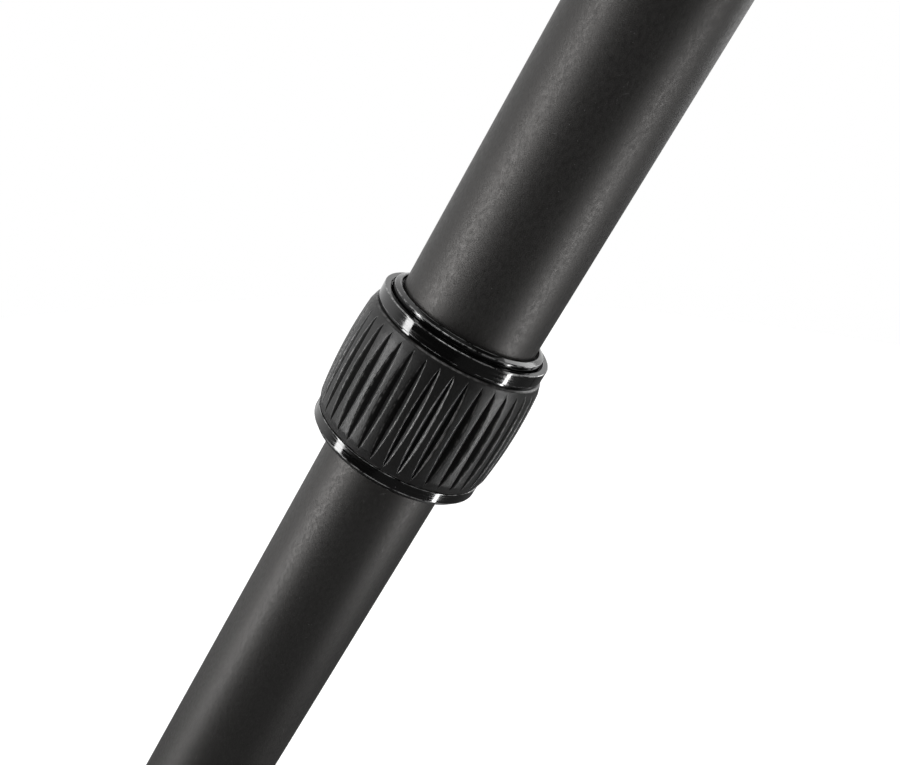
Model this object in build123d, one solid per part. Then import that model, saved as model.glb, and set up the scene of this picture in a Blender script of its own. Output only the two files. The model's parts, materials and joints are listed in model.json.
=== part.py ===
from build123d import *

import os
from math import asin, cos, degrees, pi, radians, tan

# A camera tripod with three-section legs, standing with its legs spread to their first stop.
# Millimetres, +Z up. The origin is the centre of the top plate's upper face, on the column's axis.
# Each leg is drawn hanging straight down from its hinge, then swung out and turned to its side.

# Leg tubes: radius of the thickest, step from one to the next, wall, and the first tube's length
upper_tube_r = 14.0
tube_step = 1.5
tube_wall = 1.0
upper_tube_length = 440.0

# How the tripod stands: legs off the vertical, sections drawn out, column raised
splay = 24.0
middle_drawn = 180.0
lower_drawn = 180.0
column_raised = 60.0
leg_sides = (180.0, 300.0, 60.0)

# Fits: radial play of a turning or sliding fit, play beside a flat moving face, play of a loose one
running = 0.05
side_play = 0.1
loose_play = 0.3

# Twist lock: a threaded sleeve on the outer tube's end, and a ring that screws over it.
# Heights run down from the ring's upper edge.
sleeve_wall = 1.8
lip_play = 0.6
lip_height = 1.4
lip_bevel = 0.45
lip_depth = 1.0
tube_in_lock = 14.0
sleeve_end = 16.5
ring_length = 30.4
ring_mouth = 0.4
ring_mouth_depth = 2.0
ring_wall = 1.1
band_proud = 1.55
band_length = 2.55
band_gap = 0.6
flange_proud = 1.85
flange_length = 3.3
flange_chamfer = 1.1
edge_bevel = 0.1

# Rubber grip on the ring: a barrel with lens-shaped flutes, cut by a large wheel with a V edge
grip_edge = 1.75
grip_corner = 2.38
grip_proud = 2.9
grip_corner_in = 2.0
flute_pitch = 2.94
flute_depth = 1.0
flute_tip_depth = 0.25
flute_half_angle = 41.0
flute_wheel_extra = 0.15

# Split clamping bush under the sleeve, keyed so that it moves along the leg but can't turn
bush_flange = 1.5
bush_cone_top = 0.6
bush_cone_wall = 1.4
bush_length = 10.8
bush_slots = 6
bush_slot_width = 1.2
bush_slot_from = 3.0
key_width = 2.8
key_height = 2.0
key_play = 0.2

# Guide shells round the top of each inner tube
guide_length = 50.0
guide_split = 1.0
guide_play = 0.05
guide_glue = 0.02
section_stop = 4.0
lock_spacing = 5.0

# Leg hinge: the leg's tongue turns on a bolt between two ears of the apex casting
pivot_out = 37.0
pivot_bolt_r = 4.0
bolt_head_r = 6.5
bolt_head_height = 2.5
bolt_hex = 5.0
bolt_hex_depth = 1.6
tongue_width = 15.0
tongue_r = 12.0
neck_depth = 20.0
ear_r = 13.0
ear_thickness = 5.0
ear_root_r = 10.0
ear_chamfer = 0.8

# Leg-angle latch: a yoke astride the neck, whose two noses drop into notches in the ears' rims
stop_angles = (24.0, 54.0, 82.0)
latch_rest = 0.3
latch_nose_width = 3.6
latch_nose_height = 2.5
latch_body_height = 7.0
latch_arm_back = 4.0
latch_tab = 5.0
notch_depth = 2.4
notch_play = 0.3

# Shoulder that joins the neck to the upper tube
socket_top = 26.0
socket_wall = 3.2
socket_depth = 30.0
socket_floor = 5.0
socket_chamfer = 1.5

# Foot
foot_r = 15.5
foot_flank = 16.0
foot_top_r = 12.4
foot_stem = 16.0
foot_groove = 0.8
foot_grooves = 3

# Column with its anti-turn groove, and the neck it is clamped in
column_r = 14.0
column_wall = 1.5
column_length = 360.0
column_groove_width = 3.0
column_groove_depth = 0.5
neck_wall = 3.4
neck_bore_play = 0.4
guide_land = 8.0
hub_r = 24.0
hub_over_pivot = 15.0
hub_under_pivot = 18.0
hub_chamfer = 2.0
lock_foot_play = 1.5

# Top plate with the head's stud, three locking screws under it
plate_r = 30.0
plate_thickness = 8.0
plate_collar_r = 18.0
plate_collar = 8.0
plate_plug = 22.0
plate_edge = 1.2
lowered_play = 2.0
stud_r = 4.7625
stud_length = 10.0
stud_depth = 18.0
stud_tip = 1.0
stud_root_r = 5.5
screw_r = 2.0
screw_circle_r = 23.0
screw_length = 9.0
screw_below = 2.5
screw_hex = 2.0
screw_hex_depth = 2.2

# Bubble level in a boss between two legs
level_r = 7.0
level_depth = 5.0
level_dome = 1.2
level_out = 31.5
level_boss_wall = 2.2
level_boss_height = 12.0
level_drop = 1.0

# End cap of the column, and the hook that turns in it
cap_flange = 5.0
cap_flange_over = 0.8
cap_plug = 14.0
hook_wire_r = 2.2
hook_bend_r = 7.5
hook_drop = 9.0
hook_tip = 6.0
hook_head_r = 5.0
hook_head = 3.0

# Worked out from the sizes above
middle_tube_r = upper_tube_r - tube_step
lower_tube_r = middle_tube_r - tube_step
tube_top = socket_top + socket_floor
lock1_at = tube_top + upper_tube_length - tube_in_lock
lock2_closed = lock1_at + ring_length + lock_spacing
middle_top = tube_top + section_stop
middle_length = lock2_closed + tube_in_lock - middle_top
lower_top = middle_top + section_stop
foot_closed = lock2_closed + ring_length + lock_spacing
lower_length = foot_closed - lower_top
column_thread_r = column_r + neck_wall
column_lock_z = -(plate_thickness + plate_collar + column_raised + lowered_play + ring_length)
hub_top = column_lock_z - lock_foot_play
pivot_z = hub_top - hub_over_pivot
hub_bottom = pivot_z - hub_under_pivot
column_bottom = -plate_thickness - column_length
ear_inside = tongue_width / 2 + side_play
ear_outside = ear_inside + ear_thickness


def turned(points):
    """The solid that a closed outline of (radius, height) points sweeps about Z."""
    return revolve(Plane.XZ * make_face(Polyline(*points, close=True)), Axis.Z)


def rod(radius, top, bottom):
    return Pos(0, 0, (top + bottom) / 2) * Cylinder(radius, top - bottom)


def pipe(outer_r, inner_r, top, bottom):
    return rod(outer_r, top, bottom) - rod(inner_r, top, bottom)


def hex_hole(across, top, bottom):
    """A hexagonal prism between two heights, sized across its flats."""
    return Pos(0, 0, bottom) * extrude(RegularPolygon(across / 2 / cos(pi / 6), 6), top - bottom)


def around(shape, count, start=0.0):
    return [Rot(0, 0, start + 360 * i / count) * shape for i in range(count)]


def lock_sleeve(tube_r, inner_tube_r):
    """The sleeve glued over the outer tube's end. The ring screws over its outside."""
    thread_r = tube_r + sleeve_wall
    stop_r = inner_tube_r + tube_step / 2 - tube_wall / 2
    sleeve = turned([
        (tube_r + lip_play, lip_height),
        (tube_r + lip_play + edge_bevel, lip_height),
        (thread_r, lip_height - lip_bevel),
        (thread_r, -sleeve_end),
        (stop_r, -sleeve_end),
        (stop_r, -tube_in_lock),
        (tube_r, -tube_in_lock),
        (tube_r, -lip_depth),
        (tube_r + lip_play, -lip_depth),
    ])
    return sleeve - key_slots(thread_r)


def key_slots(thread_r):
    """Two notches in the sleeve's end face that hold the bush's keys."""
    depth = key_height + key_play
    width = key_width + 2 * key_play
    slot = Pos(thread_r, 0, depth / 2 - sleeve_end) * Box(2 * thread_r, width, depth)
    return around(slot, 2)


def lock_ring(thread_r, inner_tube_r):
    """The ring that is twisted: threaded bore above, cone round the bush, lip round the tube."""
    band_r = thread_r + band_proud
    body_r = thread_r + ring_wall
    flange_r = thread_r + flange_proud
    grip_end = ring_length - flange_length
    flange_top = sleeve_end + side_play + bush_flange
    cone_end = sleeve_end + side_play + bush_length + side_play
    cone_top_r = thread_r - bush_cone_top + side_play
    cone_end_r = inner_tube_r + bush_cone_wall + side_play
    mouth_r = inner_tube_r + running + loose_play
    return turned([
        (thread_r + ring_mouth, 0),
        (band_r - edge_bevel, 0),
        (band_r, -edge_bevel),
        (band_r, edge_bevel - band_length),
        (band_r - edge_bevel, -band_length),
        (body_r, -band_length),
        (body_r, -grip_end),
        (flange_r - edge_bevel, -grip_end),
        (flange_r, -grip_end - edge_bevel),
        (flange_r, flange_chamfer - ring_length),
        (flange_r - flange_chamfer, -ring_length),
        (mouth_r, -ring_length),
        (mouth_r, -cone_end),
        (cone_end_r, -cone_end),
        (cone_top_r, -flange_top - side_play),
        (thread_r + running, -flange_top - side_play),
        (thread_r + running, -ring_mouth_depth),
        (thread_r + ring_mouth, -ring_mouth_depth),
    ])


def lock_grip(thread_r):
    """The rubber barrel on the ring, between its band and its flange."""
    inner_r = thread_r + ring_wall
    edge_r = thread_r + grip_edge
    corner_r = thread_r + grip_corner
    widest_r = thread_r + grip_proud
    top = -(band_length + band_gap)
    bottom = flange_length - ring_length
    middle = (top + bottom) / 2
    upper, lower = top - grip_corner_in, bottom + grip_corner_in
    outline = Polyline((edge_r, bottom), (inner_r, bottom), (inner_r, top), (edge_r, top))
    outline += Line((edge_r, top), (corner_r, upper))
    outline += ThreePointArc((corner_r, upper), (widest_r, middle), (corner_r, lower))
    outline += Line((corner_r, lower), (edge_r, bottom))
    barrel = revolve(Plane.XZ * make_face(outline), Axis.Z)
    count = round(2 * pi * widest_r / flute_pitch)
    wheel = flute_wheel(widest_r - flute_depth, corner_r - flute_tip_depth, (upper - lower) / 2)
    return barrel - around(Pos(0, 0, middle) * wheel, count)


def flute_wheel(root_r, tip_r, half_length):
    """The part of the V-edged wheel that enters the rubber. Its plane holds the lock's axis."""
    rise = tip_r - root_r
    wheel_r = (half_length ** 2 + rise ** 2) / (2 * rise)
    depth = flute_depth + flute_wheel_extra
    half_width = depth * tan(radians(flute_half_angle))
    edge = Polyline((root_r, 0), (root_r + depth, half_width), (root_r + depth, -half_width),
                    close=True)
    swing = 2 * degrees(asin((half_length + grip_corner_in) / wheel_r))
    axle = Axis((root_r + wheel_r, 0, 0), (0, 1, 0))
    return revolve(make_face(edge).rotate(axle, -swing / 2), axle, swing)


def lock_bush(thread_r, inner_tube_r):
    """The split conical bush that the ring presses onto the inner tube."""
    bore_r = inner_tube_r + running
    flange_r = thread_r - key_play
    top = -(sleeve_end + side_play)
    bottom = top - bush_length
    bush = turned([
        (bore_r, top),
        (flange_r, top),
        (flange_r, top - bush_flange),
        (thread_r - bush_cone_top, top - bush_flange),
        (inner_tube_r + bush_cone_wall, bottom),
        (bore_r, bottom),
    ])
    slot_height = bush_length - bush_slot_from
    slot = Pos(thread_r, 0, bottom + slot_height / 2) * Box(
        2 * thread_r, bush_slot_width, slot_height)
    key_in, key_out = inner_tube_r + tube_step / 2, thread_r - 2 * key_play
    key = Pos((key_in + key_out) / 2, 0, top + key_height / 2) * Box(
        key_out - key_in, key_width, key_height)
    return bush - around(slot, bush_slots, 180 / bush_slots) + around(key, 2)


def guide_shells(tube_r, bore_r, top):
    """Two half shells round the head of an inner tube, running in the bore of the outer one."""
    ring = pipe(bore_r - guide_play, tube_r + guide_glue, top, top - guide_length)
    gap = Pos(0, 0, top - guide_length / 2) * Box(guide_split, 3 * tube_r, guide_length)
    return Compound(children=(ring - gap).solids())


def shoulder():
    """The casting on top of a leg: hinge tongue, neck and the socket that holds the tube."""
    socket_r = upper_tube_r + socket_wall
    tongue = Rot(90, 0, 0) * Cylinder(tongue_r, tongue_width)
    neck_top, neck_bottom = 0, -(socket_top + socket_floor)
    neck = Pos(0, 0, (neck_top + neck_bottom) / 2) * Box(
        neck_depth, tongue_width, neck_top - neck_bottom)
    socket = turned([
        (0, -socket_top),
        (socket_r - socket_chamfer, -socket_top),
        (socket_r, -socket_top - socket_chamfer),
        (socket_r, -tube_top - socket_depth + socket_chamfer),
        (socket_r - socket_chamfer / 2, -tube_top - socket_depth),
        (0, -tube_top - socket_depth),
    ])
    body = tongue + neck + socket
    body -= rod(upper_tube_r, -tube_top, -tube_top - socket_depth)
    return body - Rot(90, 0, 0) * Cylinder(pivot_bolt_r + running, tongue_width)


def angle_latch():
    """A yoke with an arm on each side of the neck and a ribbed tab to pull in front of it."""
    nose_top = -(ear_r + latch_rest)
    body_top = nose_top - latch_nose_height
    body_bottom = body_top - latch_body_height
    neck_front = neck_depth / 2 + side_play
    front = neck_front + ear_thickness / 2
    arm_depth = front + latch_arm_back
    arm = Pos((front - latch_arm_back) / 2, (ear_inside + ear_outside) / 2,
              (body_top + body_bottom) / 2) * Box(arm_depth, ear_thickness, latch_body_height)
    nose = Pos(0, (ear_inside + ear_outside) / 2, nose_top - latch_nose_height / 2) * Box(
        latch_nose_width, ear_thickness, latch_nose_height)
    side = arm + nose
    bridge = Pos((neck_front + front) / 2, 0, (body_top + body_bottom) / 2) * Box(
        front - neck_front, 2 * ear_outside, latch_body_height)
    tab = Pos(front + latch_tab / 2, 0, body_bottom + latch_body_height / 4) * Box(
        latch_tab, tongue_width, latch_body_height / 2)
    return side + mirror(side, Plane.XZ) + bridge + tab


def foot():
    """The rubber foot: a plug in the tube, a grooved flank and a round sole."""
    stem_r = lower_tube_r - tube_wall
    outline = Polyline((foot_r, -foot_flank), (foot_top_r, 0), (0, 0), (0, -foot_flank - foot_r))
    outline += CenterArc((0, -foot_flank), foot_r, -90, 90)
    body = revolve(Plane.XZ * make_face(outline), Axis.Z)
    for i in range(1, foot_grooves + 1):
        share = i / (foot_grooves + 1)
        body -= Pos(0, 0, -foot_flank * share) * Torus(
            foot_top_r + (foot_r - foot_top_r) * share, foot_groove)
    return body + rod(stem_r, foot_stem, 0)


def apex():
    """The casting that holds the three hinges, the bubble level and the column's clamp."""
    bore_r = column_r + neck_bore_play
    body = turned([
        (bore_r, column_lock_z + sleeve_end),
        (column_thread_r, column_lock_z + sleeve_end),
        (column_thread_r, hub_top),
        (hub_r - hub_chamfer, hub_top),
        (hub_r, hub_top - hub_chamfer),
        (hub_r, hub_bottom + hub_chamfer),
        (hub_r - hub_chamfer, hub_bottom),
        (column_r + running, hub_bottom),
        (column_r + running, hub_bottom + guide_land),
        (bore_r, hub_bottom + guide_land),
    ])
    cut = [Rot(0, 0, side) * leg_opening() for side in leg_sides]
    body -= cut
    body += [Rot(0, 0, side) * ear_pair() for side in leg_sides]
    body += level_boss()
    slots = [Pos(0, 0, column_lock_z) * Rot(180, 0, 0) * s for s in key_slots(column_thread_r)]
    return body - slots - rod(column_r + running, hub_top, hub_bottom)


def leg_opening():
    """Room for the tongue's round end as the leg swings, cut into the hub between the ears."""
    room_r = tongue_r + 2 * loose_play
    swept = Pos(pivot_out, 0, pivot_z) * Rot(90, 0, 0) * Cylinder(room_r, 2 * ear_inside)
    below = Pos(pivot_out, 0, (pivot_z + hub_bottom) / 2) * Box(
        2 * room_r, 2 * ear_inside, pivot_z - hub_bottom)
    return swept + below


def ear_pair():
    """Two ears with the bolt's hole and the latch's notches in their rims."""
    rim = Pos(pivot_out, 0) * Circle(ear_r)
    root = Pos(column_r + ear_root_r / 2, 0) * Circle(ear_root_r)
    plate = make_hull(rim.edges() + root.edges())
    ear = extrude(plate, ear_thickness)
    ear = chamfer(ear.faces().sort_by(Axis.Z)[-1].edges(), ear_chamfer)
    ear -= Pos(pivot_out, 0, ear_thickness / 2) * Cylinder(pivot_bolt_r + running, ear_thickness)
    notch_width = latch_nose_width + 2 * notch_play
    notch = Pos(ear_r, 0, ear_thickness / 2) * Box(2 * notch_depth, notch_width, ear_thickness)
    for angle in stop_angles:
        ear -= Pos(pivot_out, 0) * Rot(0, 0, 90 - angle) * notch
    near = Pos(0, -ear_inside, pivot_z) * Rot(90, 0, 0) * mirror(ear, Plane.XZ)
    return near + mirror(near, Plane.XZ)


def level_boss():
    boss_r = level_r + level_boss_wall
    top = hub_top - level_drop
    boss = Pos(level_out, 0) * rod(boss_r, top, top - level_boss_height)
    web = Pos(level_out / 2, 0, top - level_boss_height / 2) * Box(
        level_out, 2 * boss_r, level_boss_height)
    return boss + web - rod(column_r + running, top, top - level_boss_height) - (
        Pos(level_out, 0) * rod(level_r + running, top, top - level_depth))


def bubble_level():
    top = hub_top - level_drop
    body = rod(level_r, top, top - level_depth)
    dome_r = (level_r ** 2 + level_dome ** 2) / (2 * level_dome)
    dome = Pos(0, 0, top + level_dome - dome_r) * Sphere(dome_r) & rod(
        level_r, top + level_dome, top)
    return Pos(level_out, 0) * (body + dome)


def pivot_bolts():
    """One bolt for each hinge, with a flat socket head at each end."""
    half = ear_outside + bolt_head_height
    bolt = rod(pivot_bolt_r, half, -half)
    for end in (rod(bolt_head_r, half, ear_outside), rod(bolt_head_r, -ear_outside, -half)):
        bolt += end
    bolt -= hex_hole(bolt_hex, half, half - bolt_hex_depth)
    bolt -= hex_hole(bolt_hex, bolt_hex_depth - half, -half)
    placed = Pos(pivot_out, 0, pivot_z) * Rot(90, 0, 0) * bolt
    return Compound(children=[Rot(0, 0, side) * placed for side in leg_sides])


def column_tube():
    tube = pipe(column_r, column_r - column_wall, -plate_thickness, column_bottom)
    groove = Pos(column_r, 0, (column_bottom - plate_thickness) / 2) * Box(
        2 * column_groove_depth, column_groove_width, column_length)
    return tube - groove


def column_bush():
    """The column's clamping bush, with a key that runs in the column's groove."""
    bush = Pos(0, 0, column_lock_z) * Rot(180, 0, 0) * lock_bush(column_thread_r, column_r)
    key_in = column_r - column_groove_depth + 3 * running
    top = column_lock_z + sleeve_end + side_play + bush_flange
    key_out = column_r + bush_cone_wall / 2
    key = Pos((key_in + key_out) / 2, 0, top - bush_flange / 2) * Box(
        key_out - key_in, column_groove_width - 2 * key_play, bush_flange)
    return bush + key


def top_plate():
    """Head platform with a collar over the column and a plug inside it."""
    under = -plate_thickness
    plate = turned([
        (stud_root_r, 0),
        (plate_r - plate_edge, 0),
        (plate_r, -plate_edge),
        (plate_r, under / 2),
        (plate_collar_r + plate_edge, under),
        (plate_collar_r, under - plate_edge),
        (plate_collar_r, under - plate_collar),
        (column_r, under - plate_collar),
        (column_r, under),
        (column_r - column_wall, under),
        (column_r - column_wall, under - plate_plug),
        (0, under - plate_plug),
        (0, -stud_depth),
        (stud_root_r, -stud_depth),
    ])
    hole = Pos(screw_circle_r, 0) * rod(screw_r, 0, 2 * under)
    return plate - around(hole, 3)


def head_stud():
    return turned([
        (0, stud_length),
        (stud_r - stud_tip, stud_length),
        (stud_r, stud_length - stud_tip),
        (stud_r, 0),
        (stud_root_r, 0),
        (stud_root_r, -stud_depth),
        (0, -stud_depth),
    ])


def plate_screws():
    """Three socket grub screws that stop the head from unscrewing, backed off under the face."""
    bottom = -screw_below - screw_length
    screw = rod(screw_r, -screw_below, bottom)
    screw -= hex_hole(screw_hex, bottom + screw_hex_depth, bottom)
    return Compound(children=around(Pos(screw_circle_r, 0) * screw, 3))


def end_cap():
    flange_r = column_r + cap_flange_over
    bottom = column_bottom - cap_flange
    return turned([
        (hook_wire_r + running, column_bottom + cap_plug),
        (column_r - column_wall, column_bottom + cap_plug),
        (column_r - column_wall, column_bottom),
        (flange_r, column_bottom),
        (flange_r, bottom + socket_chamfer),
        (flange_r - socket_chamfer, bottom),
        (hook_wire_r + running, bottom),
    ])


def ballast_hook():
    """A J hook under the cap. Its shank turns in the cap and is kept there by a head on top."""
    cap_under = column_bottom - cap_flange
    head_z = column_bottom + cap_plug + side_play
    bend_z = cap_under - hook_drop
    path = Line((0, head_z), (0, bend_z))
    path += ThreePointArc((0, bend_z), (hook_bend_r, bend_z - hook_bend_r),
                          (2 * hook_bend_r, bend_z))
    path += Line((2 * hook_bend_r, bend_z), (2 * hook_bend_r, bend_z + hook_tip))
    wire = sweep(Pos(0, 0, head_z) * Circle(hook_wire_r), Plane.XZ * path)
    return wire + rod(hook_head_r, head_z + hook_head, head_z)


def leg_pieces():
    """Every piece of one leg, hanging straight down with its hinge at the origin."""
    upper_in, middle_in = upper_tube_r - tube_wall, middle_tube_r - tube_wall
    lock2_at = lock2_closed + middle_drawn
    drawn = middle_drawn + lower_drawn
    upper_thread_r, middle_thread_r = upper_tube_r + sleeve_wall, middle_tube_r + sleeve_wall
    lock1, lock2 = Pos(0, 0, -lock1_at), Pos(0, 0, -lock2_at)
    middle_z, lower_z = -middle_top - middle_drawn, -lower_top - drawn
    return {
        "shoulder": shoulder(),
        "angle_latch": angle_latch(),
        "upper_tube": pipe(upper_tube_r, upper_in, -tube_top, -tube_top - upper_tube_length),
        "lock1_sleeve": lock1 * lock_sleeve(upper_tube_r, middle_tube_r),
        "lock1_bush": lock1 * lock_bush(upper_thread_r, middle_tube_r),
        "lock1_ring": lock1 * lock_ring(upper_thread_r, middle_tube_r),
        "lock1_grip": lock1 * lock_grip(upper_thread_r),
        "middle_tube": pipe(middle_tube_r, middle_in, middle_z, middle_z - middle_length),
        "middle_guide": guide_shells(middle_tube_r, upper_in, middle_z),
        "lock2_sleeve": lock2 * lock_sleeve(middle_tube_r, lower_tube_r),
        "lock2_bush": lock2 * lock_bush(middle_thread_r, lower_tube_r),
        "lock2_ring": lock2 * lock_ring(middle_thread_r, lower_tube_r),
        "lock2_grip": lock2 * lock_grip(middle_thread_r),
        "lower_tube": pipe(lower_tube_r, lower_tube_r - tube_wall, lower_z,
                           lower_z - lower_length),
        "lower_guide": guide_shells(lower_tube_r, middle_in, lower_z),
        "foot": Pos(0, 0, -foot_closed - drawn) * foot(),
    }


def shared_pieces():
    """The pieces on the column's axis."""
    lock = Pos(0, 0, column_lock_z) * Rot(180, 0, 0)
    return {
        "apex_casting": apex(),
        "leg_pivot_bolts": pivot_bolts(),
        "bubble_level": bubble_level(),
        "column_bush": column_bush(),
        "column_lock_ring": lock * lock_ring(column_thread_r, column_r),
        "column_lock_grip": lock * lock_grip(column_thread_r),
        "column_tube": column_tube(),
        "top_plate": top_plate(),
        "head_stud": head_stud(),
        "plate_screws": plate_screws(),
        "column_end_cap": end_cap(),
        "ballast_hook": ballast_hook(),
    }


def build():
    pieces = shared_pieces()
    leg = leg_pieces()
    for number, side in enumerate(leg_sides, 1):
        place = Rot(0, 0, side) * Pos(pivot_out, 0, pivot_z) * Rot(0, -splay, 0)
        for name, shape in leg.items():
            pieces[f"leg{number}_{name}"] = place * shape
    return pieces


os.makedirs("parts", exist_ok=True)
for node, solid in build().items():
    export_step(solid, f"parts/{node}.step")
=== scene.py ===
import json
import math

import bmesh
import bpy
from mathutils import Matrix, Vector


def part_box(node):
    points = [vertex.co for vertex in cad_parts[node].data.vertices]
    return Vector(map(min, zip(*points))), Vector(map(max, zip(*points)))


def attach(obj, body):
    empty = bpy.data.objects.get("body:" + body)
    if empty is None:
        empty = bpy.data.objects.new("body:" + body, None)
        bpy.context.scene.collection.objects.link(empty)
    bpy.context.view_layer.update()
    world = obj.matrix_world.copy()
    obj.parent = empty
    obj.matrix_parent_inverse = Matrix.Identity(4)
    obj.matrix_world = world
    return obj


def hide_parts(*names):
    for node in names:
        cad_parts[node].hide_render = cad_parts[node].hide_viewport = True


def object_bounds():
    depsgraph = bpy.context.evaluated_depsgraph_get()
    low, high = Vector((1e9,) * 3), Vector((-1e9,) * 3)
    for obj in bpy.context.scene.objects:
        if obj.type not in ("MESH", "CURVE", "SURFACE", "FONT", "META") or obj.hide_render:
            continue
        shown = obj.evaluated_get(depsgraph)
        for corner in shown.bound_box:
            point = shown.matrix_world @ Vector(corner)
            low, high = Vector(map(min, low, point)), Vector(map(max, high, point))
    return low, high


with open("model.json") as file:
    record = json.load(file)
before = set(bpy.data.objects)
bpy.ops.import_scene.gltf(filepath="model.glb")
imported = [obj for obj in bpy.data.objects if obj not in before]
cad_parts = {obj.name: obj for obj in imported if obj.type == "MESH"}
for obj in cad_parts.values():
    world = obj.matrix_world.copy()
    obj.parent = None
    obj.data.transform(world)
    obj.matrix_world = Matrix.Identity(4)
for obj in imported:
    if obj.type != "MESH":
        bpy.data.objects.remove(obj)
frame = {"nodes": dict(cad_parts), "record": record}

# A camera tripod, seen close up at the upper twist lock of leg 1.
# Each piece is drawn in its own millimetres and placed in the frame by a "place" matrix.

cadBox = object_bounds()
mm = 0.001
tiny = 1e-6
joints = {joint["name"]: joint for joint in frame["record"]["behaviour"]["joints"]}
legs = (1, 2, 3)
print("frame loaded:", len(frame["nodes"]), "nodes")


# Places: where a leg, a lock or the column has its own axes

def placeAt(origin, x, y, z):
    place = Matrix((x, y, z)).transposed().to_4x4() @ Matrix.Scale(mm, 4)
    place.translation = Vector(origin)
    return place


def legPlace(leg):          # hinge at the origin, the leg hanging down Z, X away from the column
    hinge = joints[f"leg{leg}_splay"]
    up = -Vector(joints[f"leg{leg}_middle_slide"]["axis"])
    side = -Vector(hinge["axis"])
    return placeAt(hinge["pos_m"], side.cross(up), side, up)


def reach(node, place):     # a node's largest radius, lowest and highest height, in the place's millimetres
    inside = place.inverted()
    points = [inside @ vertex.co for vertex in frame["nodes"][node].data.vertices]
    heights = [point.z for point in points]
    return max(math.hypot(point.x, point.y) for point in points), min(heights), max(heights)


def widest(node, place):
    return reach(node, place)[0]


def shifted(place, x=0.0, y=0.0, z=0.0):
    return place @ Matrix.Translation((x, y, z))


columnPlace = placeAt((0, 0, 0), (1, 0, 0), (0, 1, 0), (0, 0, 1))
upsideDown = placeAt((0, 0, 0), (1, 0, 0), (0, -1, 0), (0, 0, -1))


# Mesh helpers

def polar(radius, angle, height):
    return (radius * math.cos(angle), radius * math.sin(angle), height)


def softened(corners, steps=3):     # (radius, height, rounding) corners to (radius, height, edge) points
    points = []
    for i, (radius, height, rounding) in enumerate(corners):
        here = Vector((radius, height))
        if not rounding:
            points.append((radius, height, 0.0))
            continue
        before = Vector(corners[i - 1][:2]) - here
        after = Vector(corners[(i + 1) % len(corners)][:2]) - here
        start = here + before.normalized() * rounding
        end = here + after.normalized() * rounding
        for k in range(steps + 1):
            t = k / steps
            point = (1 - t) ** 2 * start + 2 * t * (1 - t) * here + t * t * end
            points.append((point.x, point.y, 4 * t * (1 - t)))
    return points


def runsAlong(points):      # distance travelled along an outline, up to each point and back to the first
    runs = [0.0]
    for a, b in zip(points, points[1:] + points[:1]):
        runs.append(runs[-1] + math.hypot(b[0] - a[0], b[1] - a[1]))
    return runs


def plainMesh(name, bm):
    mesh = bpy.data.meshes.new(name)
    bm.to_mesh(mesh)
    bm.free()
    return mesh


def bridge(bm, loops, allRound=True):       # faces between each loop of points and the next
    for upper, lower in zip(loops, loops[1:]):
        for s in range(len(upper) if allRound else len(upper) - 1):
            t = (s + 1) % len(upper)
            bm.faces.new((upper[s], upper[t], lower[t], lower[s]))


def facedMesh(name, bm):    # with its doubles merged and its faces outwards
    bmesh.ops.remove_doubles(bm, verts=bm.verts, dist=tiny)
    bmesh.ops.recalc_face_normals(bm, faces=bm.faces)
    return plainMesh(name, bm)


def turnedMesh(name, points, segments=96, closed=True):     # sweeps an outline once round Z
    bm = bmesh.new()
    edgeLayer = bm.verts.layers.float.new("edge")
    along = bm.loops.layers.uv.new("along")
    girth = 2 * math.pi * max(point[0] for point in points)
    runs = runsAlong(points)
    rings = []
    for radius, height, edge in points:
        ring = []
        for s in range(1 if radius < tiny else segments):
            vertex = bm.verts.new(polar(radius, 2 * math.pi * s / segments, height))
            vertex[edgeLayer] = edge
            ring.append(vertex)
        rings.append(ring if len(ring) > 1 else ring * segments)
    for i in range(len(points) if closed else len(points) - 1):
        j = (i + 1) % len(points)
        for s in range(segments):
            t = (s + 1) % segments
            corners = [(rings[i][s], s, runs[i]), (rings[i][t], s + 1, runs[i]),
                       (rings[j][t], s + 1, runs[i + 1]), (rings[j][s], s, runs[i + 1])]
            kept = []
            for corner in corners:      # a ring on the axis is one point
                if corner[0] not in [other[0] for other in kept]:
                    kept.append(corner)
            if len(kept) < 3:
                continue
            face = bm.faces.new([corner[0] for corner in kept])
            for loop, corner in zip(face.loops, kept):
                loop[along].uv = (corner[1] / segments * girth, corner[2])
    return facedMesh(name, bm)


# A flute's section: share of its half width, and share of its depth there. A knurl is too small to need as many.
fluteSection = ((0.0, 0.94), (0.1, 0.88), (0.25, 0.75), (0.5, 0.5), (0.74, 0.26), (0.85, 0.165), (0.95, 0.097),
                (1.05, 0.047), (1.15, 0.015), (1.28, 0.0))
knurlSection = ((0.0, 0.94), (0.5, 0.5), (0.95, 0.097), (1.28, 0.0))

# A flute's half width, as a share of half a pitch: its limits, and where a row is divided that has no flute.
# The flute's rim lies round its half width, where the flute is deep enough to have one. On the grip the rim's edge
# weight lightens the rubber, a painted highlight as well as wear.
flute = {"narrowest": 0.08, "widest": 0.76, "plain": 0.3, "rimFrom": 0.8, "rimTo": 1.1, "rimDepth": 0.05}


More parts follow.
